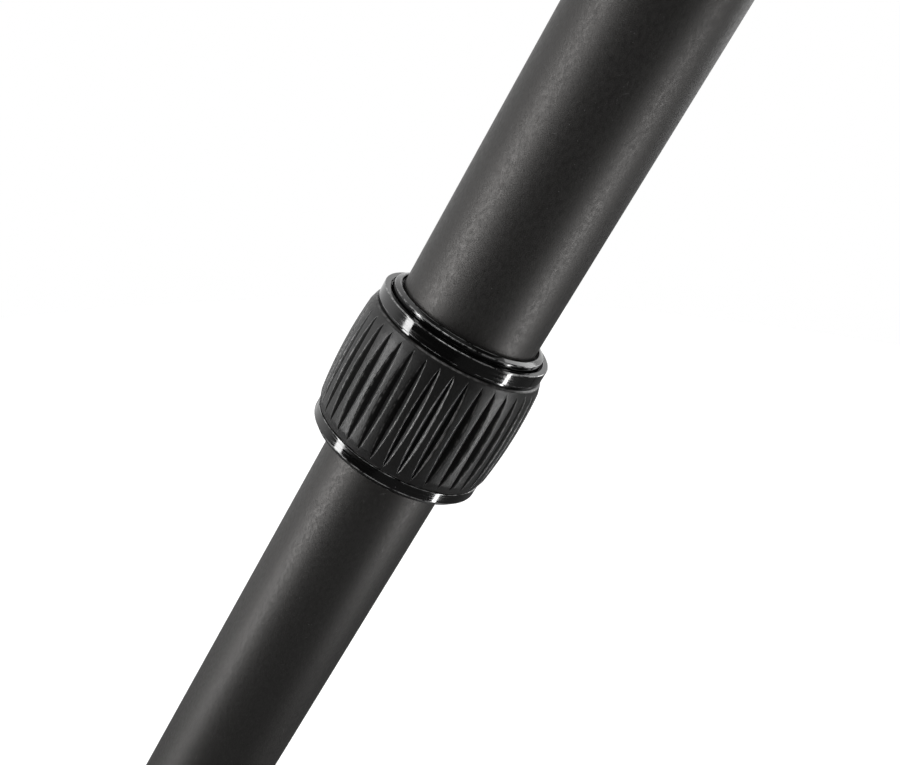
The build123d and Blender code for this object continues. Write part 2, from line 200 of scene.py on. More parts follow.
# One pitch of a fluted outline, with the flute in its middle. fluteAt gives a half width and a depth.
def sectorMesh(name, points, count, fluteAt, section, closed):
    bm = bmesh.new()
    edgeLayer = bm.verts.layers.float.new("edge")
    half = math.pi / count
    outermost = max(range(len(points)), key=lambda i: points[i][0])
    normals = []
    for i in range(len(points)):
        before, after = points[i - 1], points[(i + 1) % len(points)]
        if not closed and i in (0, len(points) - 1):
            before = after = points[i]
        normals.append(Vector((after[1] - before[1], before[0] - after[0])))
    outwards = 1 if normals[outermost].x > 0 else -1
    rows = []
    for (radius, height, edge), normal in zip(points, normals):
        width, depth = fluteAt(radius, height)
        share = flute["narrowest"] if width else flute["plain"]
        if depth > 0:
            share = min(max(width / max(half * radius, tiny), flute["narrowest"]), flute["widest"])
        normal = normal.normalized() * outwards if normal.length > 0 else normal
        side = [(share * part, cut * max(depth, 0)) for part, cut in section]
        shoulder = side[-1][0]
        side += [((shoulder + 1) / 2, 0.0), (1.0, 0.0)]
        row = []
        for part, cut in [(-a, d) for a, d in reversed(side[1:])] + side:
            r, z = radius - normal.x * cut, height - normal.y * cut
            vertex = bm.verts.new(polar(r, half * part, z))
            # A rim's edge weight lightens the grip rubber: a painted highlight along the rim, as well as wear.
            onRim = flute["rimFrom"] * share < abs(part) < flute["rimTo"] * share
            vertex[edgeLayer] = max(edge, 1.0 if onRim and depth > flute["rimDepth"] else 0.0)
            row.append(vertex)
        rows.append(row)
    bridge(bm, rows + rows[:1] if closed else rows, allRound=False)
    return plainMesh(name, bm)


def linked(name, mesh):
    thing = bpy.data.objects.new(name, mesh)
    bpy.context.scene.collection.objects.link(thing)
    return thing


def frozen(thing):          # the plain mesh that an object's modifiers make; the object is then dropped
    graph = bpy.context.evaluated_depsgraph_get()
    mesh = bpy.data.meshes.new_from_object(thing.evaluated_get(graph))
    old = thing.data
    bpy.data.objects.remove(thing)
    bpy.data.meshes.remove(old)
    return mesh


def joined(name, *meshes):
    bm = bmesh.new()
    for mesh in meshes:
        bm.from_mesh(mesh)
    return plainMesh(name, bm)


def carved(mesh, *cutters):         # cuts closed shapes out of a mesh
    thing = linked("carving", mesh)
    tools = [linked("cutter", cutter) for cutter in cutters]
    for tool in tools:
        modifier = thing.modifiers.new("cut", "BOOLEAN")
        modifier.operation = "DIFFERENCE"
        modifier.solver = "EXACT"
        modifier.object = tool
    result = frozen(thing)
    for tool in tools:
        bpy.data.objects.remove(tool)
    return result


def prism(name, sides, radius, top, bottom):
    bm = bmesh.new()
    bmesh.ops.create_cone(bm, cap_ends=True, segments=sides, radius1=radius, radius2=radius, depth=top - bottom)
    bmesh.ops.translate(bm, verts=bm.verts, vec=(0, 0, (top + bottom) / 2))
    return facedMesh(name, bm)


def nodeMesh(node, place, flatWithin=0.0):      # a merged copy of a CAD node's mesh, with faces as flat as asked
    mesh = frame["nodes"][node].data.copy()
    mesh.transform(place.inverted())
    bm = bmesh.new()
    bm.from_mesh(mesh)
    bmesh.ops.remove_doubles(bm, verts=bm.verts, dist=0.001)
    if flatWithin:
        bmesh.ops.dissolve_limit(bm, angle_limit=math.radians(flatWithin), verts=bm.verts, edges=bm.edges)
    bm.to_mesh(mesh)
    bm.free()
    return mesh


def oneLook(mesh, look):
    mesh.materials.clear()
    mesh.materials.append(look)


def addPiece(name, mesh, place, look, body, slot, *nodes, sharpFrom=34.0):
    mesh.transform(place)
    oneLook(mesh, look)
    mesh.shade_smooth()
    mesh.set_sharp_from_angle(angle=math.radians(sharpFrom))
    piece = linked(name, mesh)
    shading = piece.modifiers.new("even shading", "WEIGHTED_NORMAL")
    shading.keep_sharp = True
    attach(piece, body)
    if nodes:
        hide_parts(*nodes)


def addTurned(name, corners, place, look, body, slot, *nodes, steps=3, segments=96, closed=True):
    mesh = turnedMesh(name, softened(corners, steps), segments, closed)
    addPiece(name, mesh, place, look, body, slot, *nodes)


def keepNode(node, look):           # a CAD node whose shape is right gets its finish
    frame["nodes"][node].material_slots[0].material = look


# Geometry Nodes: copies of a mesh, each turned and stepped on from the last, then welded

def put(tree, kind, sockets=None, **settings):      # adds a node; a socket value is linked, any other is set
    made = tree.nodes.new(kind)
    for key, value in settings.items():
        setattr(made, key, value)
    for key, value in (sockets or {}).items():
        if isinstance(value, bpy.types.NodeSocket):
            tree.links.new(value, made.inputs[key])
        else:
            made.inputs[key].default_value = value
    return made


def repeatTree():
    tree = bpy.data.node_groups.new("repeatInSteps", "GeometryNodeTree")
    face = tree.interface
    for label, kind in (("Geometry", "NodeSocketGeometry"), ("Count", "NodeSocketInt"), ("Turn", "NodeSocketFloat"),
                        ("Step", "NodeSocketVector"), ("Weld", "NodeSocketFloat"), ("Finish", "NodeSocketMaterial")):
        face.new_socket(label, in_out="INPUT", socket_type=kind)
    face.new_socket("Geometry", in_out="OUTPUT", socket_type="NodeSocketGeometry")
    source = tree.nodes.new("NodeGroupInput").outputs
    sink = tree.nodes.new("NodeGroupOutput")
    index = put(tree, "GeometryNodeInputIndex").outputs[0]
    spin = put(tree, "ShaderNodeMath", operation="MULTIPLY", sockets={0: index, 1: source["Turn"]})
    move = put(tree, "ShaderNodeVectorMath", operation="SCALE", sockets={"Vector": source["Step"], "Scale": index})
    points = put(tree, "GeometryNodePoints", sockets={"Count": source["Count"], "Position": move.outputs[0]})
    turn = put(tree, "ShaderNodeCombineXYZ", sockets={"Z": spin.outputs[0]})
    copies = put(tree, "GeometryNodeInstanceOnPoints",
                 sockets={"Points": points.outputs[0], "Instance": source["Geometry"], "Rotation": turn.outputs[0]})
    real = put(tree, "GeometryNodeRealizeInstances", sockets={"Geometry": copies.outputs[0]})
    weld = put(tree, "GeometryNodeMergeByDistance",
               sockets={"Geometry": real.outputs[0], "Distance": source["Weld"]})
    finish = put(tree, "GeometryNodeSetMaterial",
                 sockets={"Geometry": weld.outputs[0], "Material": source["Finish"]})
    tree.links.new(finish.outputs[0], sink.inputs[0])
    return tree


stepTree = repeatTree()
stepInputs = {item.name: item.identifier for item in stepTree.interface.items_tree if item.in_out == "INPUT"}
weldWithin = 0.004


def repeated(mesh, look, count, step=None):     # copies in a row, a step apart, or else evenly round Z
    name = mesh.name
    holder = linked("holder", mesh)
    modifier = holder.modifiers.new("repeat", "NODES")
    modifier.node_group = stepTree
    turn = 0.0 if step else 2 * math.pi / count
    values = {"Count": count, "Turn": turn, "Step": step or (0.0, 0.0, 0.0), "Weld": weldWithin, "Finish": look}
    for label, value in values.items():
        modifier[stepInputs[label]] = value
    result = frozen(holder)
    bm = bmesh.new()
    bm.from_mesh(result)
    bmesh.ops.recalc_face_normals(bm, faces=bm.faces)
    bm.to_mesh(result)
    bm.free()
    result.name = name
    return result


def flutedMesh(name, points, count, fluteAt, look, section=fluteSection, closed=True):
    return repeated(sectorMesh(name, points, count, fluteAt, section, closed), look, count)


# Shader groups: each puts out masks and heights, built once and placed in the finishes

def shaderGroup(name, inputs, outputs):
    group = bpy.data.node_groups.new(name, "ShaderNodeTree")
    group.interface.new_socket("Vector", in_out="INPUT", socket_type="NodeSocketVector")
    for label, value in inputs.items():
        group.interface.new_socket(label, in_out="INPUT", socket_type="NodeSocketFloat").default_value = value
    for label in outputs:
        group.interface.new_socket(label, in_out="OUTPUT", socket_type="NodeSocketFloat")
    return group, group.nodes.new("NodeGroupInput").outputs, group.nodes.new("NodeGroupOutput").inputs


def calc(tree, operation, a, b=0.0, clamp=False):
    return put(tree, "ShaderNodeMath", operation=operation, use_clamp=clamp, sockets={0: a, 1: b}).outputs[0]


def ramp(tree, value, low, high, toLow=0.0, toHigh=1.0):
    sockets = {"Value": value, "From Min": low, "From Max": high, "To Min": toLow, "To Max": toHigh}
    return put(tree, "ShaderNodeMapRange", interpolation_type="SMOOTHSTEP", sockets=sockets).outputs[0]


def noise(tree, vector, scale, detail=2.0, rough=0.5):
    return put(tree, "ShaderNodeTexNoise",
               sockets={"Vector": vector, "Scale": scale, "Detail": detail, "Roughness": rough}).outputs["Fac"]


def stretched(tree, vector, x, y, z):
    return put(tree, "ShaderNodeVectorMath", operation="MULTIPLY", sockets={0: vector, 1: (x, y, z)}).outputs[0]


def split(tree, vector):
    return put(tree, "ShaderNodeSeparateXYZ", sockets={0: vector}).outputs


def makeGrain():        # a fine surface grain and a slow change of tone
    settings = {"detail": 3.0, "rough": 0.6, "slow": 0.03}
    group, source, sink = shaderGroup("surfaceGrain", {"Scale": 2500.0}, ("Height", "Tone"))
    fine = noise(group, source["Vector"], source["Scale"], settings["detail"], settings["rough"])
    slow = noise(group, source["Vector"], calc(group, "MULTIPLY", source["Scale"], settings["slow"]))
    group.links.new(fine, sink["Height"])
    group.links.new(slow, sink["Tone"])
    return group


def makeWeave():        # a two-by-two twill of flat tows, on a surface measured in millimetres
    settings = {"repeat": 4.0, "over": 1.5, "threads": 9.0, "threadLength": 0.35}
    group, source, sink = shaderGroup("twillWeave", {"Tow": 1.0}, ("Over", "Height", "Fibre"))
    tow = put(group, "ShaderNodeCombineXYZ", sockets={"X": source["Tow"], "Y": source["Tow"], "Z": 1.0}).outputs[0]
    cells = put(group, "ShaderNodeVectorMath", operation="DIVIDE",
                sockets={0: source["Vector"], 1: tow}).outputs[0]
    parts = split(group, cells)
    cell = calc(group, "ADD", calc(group, "FLOOR", parts["X"]), calc(group, "FLOOR", parts["Y"]))
    over = calc(group, "LESS_THAN", calc(group, "FLOORED_MODULO", cell, settings["repeat"]), settings["over"])
    across = put(group, "ShaderNodeMix", data_type="FLOAT",
                 sockets={0: over, 2: calc(group, "FRACT", parts["Y"]), 3: calc(group, "FRACT", parts["X"])})
    crown = calc(group, "SINE", calc(group, "MULTIPLY", across.outputs[0], math.pi))
    fine, long = settings["threads"], settings["threadLength"]
    warp = noise(group, stretched(group, cells, fine, long, 1.0), 1.0)
    weft = noise(group, stretched(group, cells, long, fine, 1.0), 1.0)
    fibre = put(group, "ShaderNodeMix", data_type="FLOAT", sockets={0: over, 2: weft, 3: warp})
    group.links.new(over, sink["Over"])
    group.links.new(crown, sink["Height"])
    group.links.new(fibre.outputs[0], sink["Fibre"])
    return group


def makeEdgeWear():     # the rounded edges of a piece, broken up as handling rubs them; on the grip rubber the lighter tone it lays is partly a painted highlight
    settings = {"detail": 3.0, "rough": 0.65, "from": 0.38, "to": 0.68}
    group, source, sink = shaderGroup("edgeWear", {"Scale": 600.0, "Amount": 0.5}, ("Mask",))
    edge = put(group, "ShaderNodeAttribute", attribute_name="edge").outputs["Fac"]
    patches = noise(group, source["Vector"], source["Scale"], settings["detail"], settings["rough"])
    broken = ramp(group, patches, settings["from"], settings["to"])
    rubbed = calc(group, "MULTIPLY", edge, broken)
    group.links.new(calc(group, "MULTIPLY", rubbed, source["Amount"], clamp=True), sink["Mask"])
    return group


def makeDust():         # sparse pale specks, in patches
    settings = {"speckEdge": 0.22, "speckCore": 0.06, "chosen": 0.86, "patchScale": 0.06, "patchFrom": 0.48,
                "patchTo": 0.66}
    group, source, sink = shaderGroup("dustSpecks", {"Scale": 900.0, "Amount": 0.5}, ("Mask",))
    cells = put(group, "ShaderNodeTexVoronoi",
                sockets={"Vector": source["Vector"], "Scale": source["Scale"]}).outputs
    speck = ramp(group, cells["Distance"], settings["speckEdge"], settings["speckCore"])
    lucky = put(group, "ShaderNodeSeparateColor", sockets={0: cells["Color"]}).outputs[0]
    chosen = calc(group, "GREATER_THAN", lucky, settings["chosen"])
    patchScale = calc(group, "MULTIPLY", source["Scale"], settings["patchScale"])
    patches = ramp(group, noise(group, source["Vector"], patchScale), settings["patchFrom"], settings["patchTo"])
    mask = calc(group, "MULTIPLY", calc(group, "MULTIPLY", speck, chosen), patches)
    group.links.new(calc(group, "MULTIPLY", mask, source["Amount"], clamp=True), sink["Mask"])
    return group


def makeScratches():    # short fine scratches, lying two ways
    settings = {"turns": (0.35, -0.9), "stretch": (5.0, 0.28, 1.0), "from": 0.77, "to": 0.83}
    group, source, sink = shaderGroup("fineScratches", {"Scale": 1.0, "Amount": 0.5}, ("Mask",))
    sized = put(group, "ShaderNodeVectorMath", operation="SCALE",
                sockets={"Vector": source["Vector"], "Scale": source["Scale"]}).outputs[0]
    masks = []
    for turn in settings["turns"]:
        turned = put(group, "ShaderNodeVectorRotate", rotation_type="Z_AXIS",
                     sockets={"Vector": sized, "Angle": turn})
        lines = noise(group, stretched(group, turned.outputs[0], *settings["stretch"]), 1.0, detail=1.0)
        masks.append(ramp(group, lines, settings["from"], settings["to"]))
    both = calc(group, "MAXIMUM", *masks)
    group.links.new(calc(group, "MULTIPLY", both, source["Amount"], clamp=True), sink["Mask"])
    return group


def makeStreaks():      # fine parallel lines left by a brush or a cutting tool
    group, source, sink = shaderGroup("toolStreaks", {"Round": 0.1, "Along": 3.0}, ("Height",))
    parts = split(group, source["Vector"])
    lines = put(group, "ShaderNodeCombineXYZ", sockets={"X": calc(group, "MULTIPLY", parts["X"], source["Round"]),
                                                        "Y": calc(group, "MULTIPLY", parts["Y"], source["Along"])})
    group.links.new(noise(group, lines.outputs[0], 1.0, detail=3.0, rough=0.7), sink["Height"])
    return group


grainGroup = makeGrain()
weaveGroup = makeWeave()
wearGroup = makeEdgeWear()
dustGroup = makeDust()
scratchGroup = makeScratches()
streakGroup = makeStreaks()
mostOfNoise = (0.3, 0.7)        # between these lie most of a noise's values


def useGroup(tree, group, **sockets):
    return put(tree, "ShaderNodeGroup", sockets, node_tree=group).outputs


def newLook(name, **constants):     # a material with its shader; constants go on the shader's own sockets
    look = bpy.data.materials.new(name)
    look.use_nodes = True
    tree = look.node_tree
    shader = tree.nodes["Principled BSDF"]
    for key, value in constants.items():
        shader.inputs[key.replace("_", " ")].default_value = value
    return look, tree, shader, put(tree, "ShaderNodeTexCoord").outputs["Object"]


def onPiece(tree):                  # the piece's own surface, in millimetres round it and along it
    return put(tree, "ShaderNodeUVMap", uv_map="along").outputs[0]


def tint(tree, share, one, other):
    return put(tree, "ShaderNodeMix", data_type="RGBA", sockets={0: share, 6: one, 7: other}).outputs[2]


def relief(tree, height, size, strength=1.0, under=None):
    sockets = {"Strength": strength, "Distance": size * mm, "Height": height}
    if under is not None:
        sockets["Normal"] = under
    return put(tree, "ShaderNodeBump", sockets=sockets).outputs[0]


def dress(tree, shader, **outputs):
    for key, value in outputs.items():
        tree.links.new(value, shader.inputs[key.replace("_", " ")])


def grey(value, warm=0.0):
    return (value * (1 + warm), value, value * (1 - warm), 1.0)


# Finishes. Scales are waves to the metre, reliefs millimetres, and the rest linear tones and roughnesses.

def carbonLook():
    settings = {"tow": 0.55, "thread": 0.5, "over": 0.06, "slow": 0.4, "dark": 0.005, "light": 0.011, "speck": 0.20,
                "scratch": 0.10, "mottle": (1.6, 0.8, 1.0), "smooth": 0.43, "rough": 0.58, "weaveRelief": 0.003,
                "grainRelief": 0.007}
    look, tree, shader, here = newLook("satin carbon", Specular_IOR_Level=0.5, Specular_Tint=(1.0, 0.97, 0.945, 1.0))
    surface = onPiece(tree)
    weave = useGroup(tree, weaveGroup, Vector=surface, Tow=settings["tow"])
    grain = useGroup(tree, grainGroup, Vector=here, Scale=5200.0)
    dust = useGroup(tree, dustGroup, Vector=here, Scale=1900.0, Amount=0.30)
    scratches = useGroup(tree, scratchGroup, Vector=surface, Scale=0.9, Amount=0.6)
    thread = calc(tree, "MULTIPLY", weave["Fibre"], settings["thread"])
    woven = calc(tree, "ADD", thread, calc(tree, "MULTIPLY", weave["Over"], settings["over"]))
    tone = calc(tree, "ADD", woven, calc(tree, "MULTIPLY", grain["Tone"], settings["slow"]), clamp=True)
    base = tint(tree, tone, grey(settings["dark"], warm=0.02), grey(settings["light"], warm=0.04))
    scratched = tint(tree, scratches["Mask"], base, grey(settings["scratch"]))
    dusty = tint(tree, dust["Mask"], scratched, grey(settings["speck"]))
    mottle = noise(tree, stretched(tree, surface, *settings["mottle"]), 1.0, detail=4.0, rough=0.7)
    rough = ramp(tree, mottle, *mostOfNoise, settings["smooth"], settings["rough"])
    grained = relief(tree, grain["Height"], settings["grainRelief"])
    bump = relief(tree, weave["Height"], settings["weaveRelief"], strength=0.6, under=grained)
    dress(tree, shader, Base_Color=dusty, Roughness=rough, Normal=bump)
    return look


def anodisedLook():
    settings = {"round": 0.08, "along": 3.2, "lines": (0.4, 0.62), "dark": 0.002, "worn": 0.42, "speck": 0.30,
                "smooth": 0.04, "rough": 0.20, "relief": 0.004}
    look, tree, shader, here = newLook("black anodised", Specular_IOR_Level=0.5)
    streaks = useGroup(tree, streakGroup, Vector=onPiece(tree), Round=settings["round"], Along=settings["along"])
    wear = useGroup(tree, wearGroup, Vector=here, Scale=500.0, Amount=0.9)
    dust = useGroup(tree, dustGroup, Vector=here, Scale=1700.0, Amount=0.25)
    base = tint(tree, wear["Mask"], grey(settings["dark"]), grey(settings["worn"]))
    dusty = tint(tree, dust["Mask"], base, grey(settings["speck"]))
    rough = ramp(tree, streaks["Height"], *settings["lines"], settings["smooth"], settings["rough"])
    bump = relief(tree, streaks["Height"], settings["relief"])
    dress(tree, shader, Base_Color=dusty, Metallic=wear["Mask"], Roughness=rough, Normal=bump)
    return look


def rubberLook(name, dark, light, grainScale, roughness):
    settings = {"rubbed": 0.085, "speck": 0.28, "smoother": 0.08, "rougher": 0.1, "polish": 0.16, "relief": 0.018}
    look, tree, shader, here = newLook(name, Specular_IOR_Level=0.38)
    grain = useGroup(tree, grainGroup, Vector=here, Scale=grainScale)
    wear = useGroup(tree, wearGroup, Vector=here, Scale=700.0, Amount=0.8)
    dust = useGroup(tree, dustGroup, Vector=here, Scale=1700.0, Amount=0.55)
    base = tint(tree, grain["Tone"], grey(dark, warm=0.02), grey(light, warm=0.02))
    # The wear mask lightens the rubber a great deal: partly rubbed wear, and on the grip partly a painted highlight
    # along the flute rims and rounded corners.
    rubbed = tint(tree, wear["Mask"], base, grey(settings["rubbed"], warm=0.02))
    dusty = tint(tree, dust["Mask"], rubbed, grey(settings["speck"]))
    grainRough = ramp(tree, grain["Height"], *mostOfNoise, roughness - settings["smoother"],
                      roughness + settings["rougher"])
    rough = calc(tree, "SUBTRACT", grainRough, calc(tree, "MULTIPLY", wear["Mask"], settings["polish"]))
    dress(tree, shader, Base_Color=dusty, Roughness=rough, Normal=relief(tree, grain["Height"], settings["relief"]))
    return look


def castingLook():
    settings = {"edge": (0.53, 0.60), "patches": (0.35, 0.7), "wear": 0.6, "dark": 0.008, "light": 0.014,
                "worn": 0.09, "speck": 0.30, "smooth": 0.34, "rough": 0.52, "relief": 0.10}
    look, tree, shader, here = newLook("powder coated casting", Specular_IOR_Level=0.5)
    pebble = useGroup(tree, grainGroup, Vector=here, Scale=1900.0)
    edges = put(tree, "ShaderNodeNewGeometry").outputs["Pointiness"]
    rubbed = calc(tree, "MULTIPLY", ramp(tree, edges, *settings["edge"]),
                  ramp(tree, pebble["Tone"], *settings["patches"]))
    base = tint(tree, pebble["Tone"], grey(settings["dark"]), grey(settings["light"]))
    worn = tint(tree, calc(tree, "MULTIPLY", rubbed, settings["wear"]), base, grey(settings["worn"]))
    dust = useGroup(tree, dustGroup, Vector=here, Scale=1200.0, Amount=0.5)
    dusty = tint(tree, dust["Mask"], worn, grey(settings["speck"]))
    rough = ramp(tree, pebble["Height"], *mostOfNoise, settings["smooth"], settings["rough"])
    dress(tree, shader, Base_Color=dusty, Roughness=rough, Normal=relief(tree, pebble["Height"], settings["relief"]))
    return look


def machinedLook():     # rings left by the lathe, round the column's axis
    settings = {"alongAxis": 0.6, "dark": 0.012, "light": 0.020, "worn": 0.30, "smooth": 0.24, "rough": 0.40,
                "relief": 0.006}
    look, tree, shader, here = newLook("turned and anodised", Specular_IOR_Level=0.6)
    parts = split(tree, here)
    radius = calc(tree, "SQRT", calc(tree, "ADD", calc(tree, "POWER", parts["X"], 2.0),
                                     calc(tree, "POWER", parts["Y"], 2.0)))
    rings = put(tree, "ShaderNodeCombineXYZ",
                sockets={"X": radius, "Y": calc(tree, "MULTIPLY", parts["Z"], settings["alongAxis"])})
    marks = noise(tree, rings.outputs[0], 4200.0, detail=3.0, rough=0.6)
    wear = useGroup(tree, wearGroup, Vector=here, Scale=350.0, Amount=0.8)
    grain = useGroup(tree, grainGroup, Vector=here, Scale=3000.0)
    base = tint(tree, grain["Tone"], grey(settings["dark"]), grey(settings["light"]))
    worn = tint(tree, wear["Mask"], base, grey(settings["worn"]))
    rough = ramp(tree, marks, *mostOfNoise, settings["smooth"], settings["rough"])
    bump = relief(tree, marks, settings["relief"])
    dress(tree, shader, Base_Color=worn, Metallic=wear["Mask"], Roughness=rough, Normal=bump)
    return look


def metalLook(name, tone, roughness, grainRelief=0.006, grainScale=5000.0, stretch=(1.0, 1.0, 0.08)):
    settings = {"darker": 0.8, "worn": 1.6, "brightest": 0.7, "smoother": 0.06, "rougher": 0.1}
    look, tree, shader, here = newLook(name, Metallic=1.0)
    brushed = stretched(tree, here, *stretch)
    grain = useGroup(tree, grainGroup, Vector=brushed, Scale=grainScale)
    wear = useGroup(tree, wearGroup, Vector=here, Scale=600.0, Amount=0.7)
    base = tint(tree, grain["Tone"], grey(tone * settings["darker"]), grey(tone))
    worn = tint(tree, wear["Mask"], base, grey(min(tone * settings["worn"], settings["brightest"])))
    rough = ramp(tree, grain["Height"], *mostOfNoise, roughness - settings["smoother"],
                 roughness + settings["rougher"])
    dress(tree, shader, Base_Color=worn, Roughness=rough, Normal=relief(tree, grain["Height"], grainRelief))
    return look


def plasticLook(name, colour, roughness=0.4):
    settings = {"darker": 0.82, "smoother": 0.06, "rougher": 0.08, "relief": 0.008}
    look, tree, shader, here = newLook(name, Specular_IOR_Level=0.5)
    grain = useGroup(tree, grainGroup, Vector=here, Scale=2800.0)
    darker = tuple(part * settings["darker"] for part in colour) + (1.0,)
    base = tint(tree, grain["Tone"], darker, tuple(colour) + (1.0,))
    rough = ramp(tree, grain["Height"], *mostOfNoise, roughness - settings["smoother"],
                 roughness + settings["rougher"])
    dress(tree, shader, Base_Color=base, Roughness=rough, Normal=relief(tree, grain["Height"], settings["relief"]))
    return look


def glassLook():
    settings = {"dark": (0.80, 0.95, 0.62, 1.0), "light": (0.86, 0.98, 0.70, 1.0), "spread": (0.3, 0.8),
                "smooth": 0.01, "rough": 0.05}
    look, tree, shader, here = newLook("level glass", Transmission_Weight=1.0, IOR=1.49)
    grain = useGroup(tree, grainGroup, Vector=here, Scale=900.0)
    base = tint(tree, grain["Tone"], settings["dark"], settings["light"])
    rough = ramp(tree, grain["Height"], *settings["spread"], settings["smooth"], settings["rough"])
    dress(tree, shader, Base_Color=base, Roughness=rough)
    return look


carbon = carbonLook()
anodised = anodisedLook()
gripRubber = rubberLook("grip rubber", dark=0.003, light=0.007, grainScale=3600.0, roughness=0.42)
footRubber = rubberLook("foot rubber", dark=0.009, light=0.016, grainScale=2600.0, roughness=0.60)
casting = castingLook()
machined = machinedLook()
steel = metalLook("bright zinc", tone=0.55, roughness=0.26)
blackSteel = metalLook("blackened steel", tone=0.06, roughness=0.34)
latchMetal = metalLook("blasted latch", tone=0.11, roughness=0.40, grainRelief=0.012, grainScale=4200.0,
                       stretch=(1.0, 1.0, 1.0))
acetal = plasticLook("natural acetal", (0.68, 0.66, 0.60))
guidePlastic = plasticLook("guide plastic", (0.13, 0.13, 0.13))
capPlastic = plasticLook("cap plastic", (0.016, 0.016, 0.017), roughness=0.32)
levelGreen = plasticLook("level liquid", (0.42, 0.72, 0.06), roughness=0.2)
levelBubble = plasticLook("level bubble", (0.82, 0.95, 0.55), roughness=0.12)
levelGlass = glassLook()
print("finishes made")


# Tubes

tubeWall, columnWall = 1.0, 1.5


def addTube(node, place, body):
    lip = 0.25
    radius, bottom, top = reach(node, place)
    corners = [(radius - tubeWall, top, lip), (radius, top, lip),
               (radius, bottom, lip), (radius - tubeWall, bottom, lip)]
    addTurned(f"{node}_carbon", corners, place, carbon, body, "carbon_tube", node, segments=128)


for leg in legs:
    for part, body in (("upper", f"leg{leg}"), ("middle", f"leg{leg}_middle"), ("lower", f"leg{leg}_lower")):
        addTube(f"leg{leg}_{part}_tube", legPlace(leg), body)
print("leg tubes made")


# Twist locks. Heights run down from the ring's upper edge, as on the drawing of the lock.

lock = {
    "threadProud": 1.8, "flangeProud": 1.85, "flange": 3.3, "flangeChamfer": 1.1, "bandProud": 1.55, "band": 2.55,
    "groove": 0.6, "ringWall": 1.1, "mouth": 0.4, "mouthDepth": 2.0, "mouthPlay": 0.3, "sleeveEnd": 16.5,
    "tubeIn": 14.0, "lipPlay": 0.6, "lipWidth": 0.3, "lipHeight": 1.4, "lipBevel": 0.45, "lipDepth": 1.0,
    "bushLength": 10.8, "bushFlange": 1.5, "coneTop": 0.6, "coneWall": 1.4, "play": 0.1, "running": 0.05,
    "tubeStep": 1.5,
}
grip = {
    "edge": 1.75, "corner": 2.38, "widest": 2.9, "cornerIn": 2.0, "pitch": 2.94, "depth": 1.0, "tipDepth": 0.34,
    "halfAngle": 41.0, "overWidth": 0.01, "rows": 40, "endRows": 10, "edgeRound": 0.45,
}


def addRing(prefix, place, threadR, innerR, length):
    band, flange = threadR + lock["bandProud"], threadR + lock["flangeProud"]
    ringBody, bore = threadR + lock["ringWall"], threadR + lock["running"]
    gripEnd = length - lock["flange"]
    bushTop = lock["sleeveEnd"] + 2 * lock["play"]
    flangeTop, coneEnd = bushTop + lock["bushFlange"], bushTop + lock["bushLength"]
    mouth = innerR + lock["running"] + lock["mouthPlay"]
    corners = [
        (threadR + lock["mouth"], 0, 0.15), (band, 0, 0.22), (band, -lock["band"], 0.16),
        (ringBody, -lock["band"], 0.05), (ringBody, -gripEnd, 0.05), (flange, -gripEnd, 0.14),
        (flange, lock["flangeChamfer"] - length, 0.16), (flange - lock["flangeChamfer"], -length, 0.16),
        (mouth, -length, 0.25), (mouth, -coneEnd, 0), (innerR + lock["coneWall"] + lock["play"], -coneEnd, 0),
        (threadR - lock["coneTop"] + lock["play"], -flangeTop, 0), (bore, -flangeTop, 0),
        (bore, -lock["mouthDepth"], 0), (threadR + lock["mouth"], -lock["mouthDepth"], 0),
    ]
    addTurned(f"{prefix}_ring_turned", corners, place, anodised, prefix, "black_anodised", f"{prefix}_ring",
              steps=4, segments=160)


def addSleeve(prefix, place, tubeR, innerR, body):
    threadR, lip = tubeR + lock["threadProud"], tubeR + lock["lipPlay"]
    stop = innerR + lock["tubeStep"] / 2 - tubeWall / 2
    corners = [
        (lip, lock["lipHeight"], 0.1), (lip + lock["lipWidth"], lock["lipHeight"], 0.12),
        (threadR, lock["lipHeight"] - lock["lipBevel"], 0.2), (threadR, -lock["sleeveEnd"], 0.2),
        (stop, -lock["sleeveEnd"], 0.1), (stop, -lock["tubeIn"], 0), (tubeR, -lock["tubeIn"], 0),
        (tubeR, -lock["lipDepth"], 0), (lip, -lock["lipDepth"], 0),
    ]
    addTurned(f"{prefix}_sleeve_turned", corners, place, anodised, body, "black_anodised", f"{prefix}_sleeve",
              segments=128)


def gripOutline(threadR, top, bottom):      # barrel outline, with rows close enough for the flutes
    middle, half = (top + bottom) / 2, (top - bottom) / 2 - grip["cornerIn"]
    inner, rim, corner = (threadR + out for out in (lock["ringWall"], grip["edge"], grip["corner"]))
    bulge = grip["widest"] - grip["corner"]
    # The rounded corners carry an edge weight, which lightens the grip rubber there: a painted highlight as well as
    # wear.
    end = softened([(inner, top, 0), (rim, top, grip["edgeRound"]), (corner, middle + half, 0)])[:-1]
    for k in range(2, grip["endRows"]):
        share = k / grip["endRows"]
        end.append((rim + (corner - rim) * share, top - grip["cornerIn"] * share, 0.0))
    barrel = []
    for k in range(grip["rows"] + 1):
        share = 1 - 2 * k / grip["rows"]
        barrel.append((corner + bulge * (1 - share * share), middle + half * share, 0.0))
    otherEnd = [(radius, 2 * middle - height, edge) for radius, height, edge in reversed(end)]
    return end + barrel + otherEnd, middle, half


